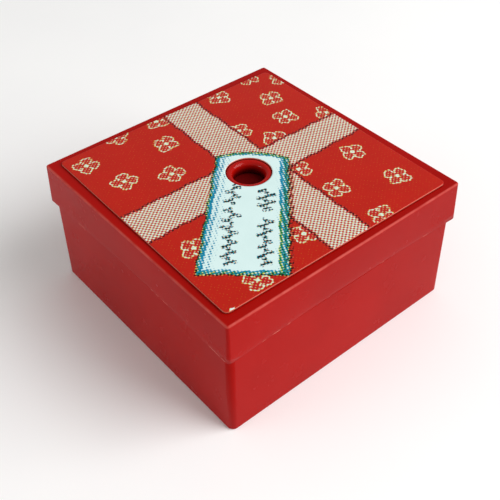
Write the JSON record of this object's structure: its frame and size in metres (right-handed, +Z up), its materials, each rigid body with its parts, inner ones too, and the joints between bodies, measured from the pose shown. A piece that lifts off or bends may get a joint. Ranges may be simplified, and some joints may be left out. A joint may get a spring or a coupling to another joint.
{
  "type": "ink pad",
  "caption": "Small square ink pad in a present-shaped plastic box: lift-off lid with a gift-print label and eyelet over a base holding a felt-fed woven pad.",
  "frame": {"origin": "centre of the underside, on the surface the box stands on", "axes": "+Z up out of the lid; +X and +Y along the sides of the square, the label's picture upright towards +Y"},
  "size_m": [0.0242, 0.0242, 0.0122],
  "materials": {
    "red_shell": "satin moulded red plastic",
    "tray_plastic": "fine matt moulded black",
    "frame_plastic": "satin moulded dark grey",
    "inked_felt": "needled felt soaked in crimson ink",
    "inked_foam": "fine open-cell foam soaked in crimson ink",
    "inked_cloth": "plain woven cover damp with crimson ink",
    "label_print": "screen-printed paper under clear gloss film",
    "clear_tape": "translucent double-sided tape",
    "liner_foam": "closed-cell foam, fine skin"
  },
  "bodies": {
    "base": {"base_shell": "red_shell", "pad_tray": "tray_plastic", "reservoir_felt": "inked_felt", "pad_foam": "inked_foam", "pad_cloth": "inked_cloth", "clamp_frame": "frame_plastic"},
    "lid": {"lid_shell": "red_shell", "lid_label": "label_print", "liner_tape": "clear_tape", "lid_liner": "liner_foam"}
  },
  "joints": [
    {"name": "lid_lift", "type": "slide", "parent": "base", "child": "lid", "axis": [0, 0, 1], "range_m": [0, 0.02]}
  ]
}
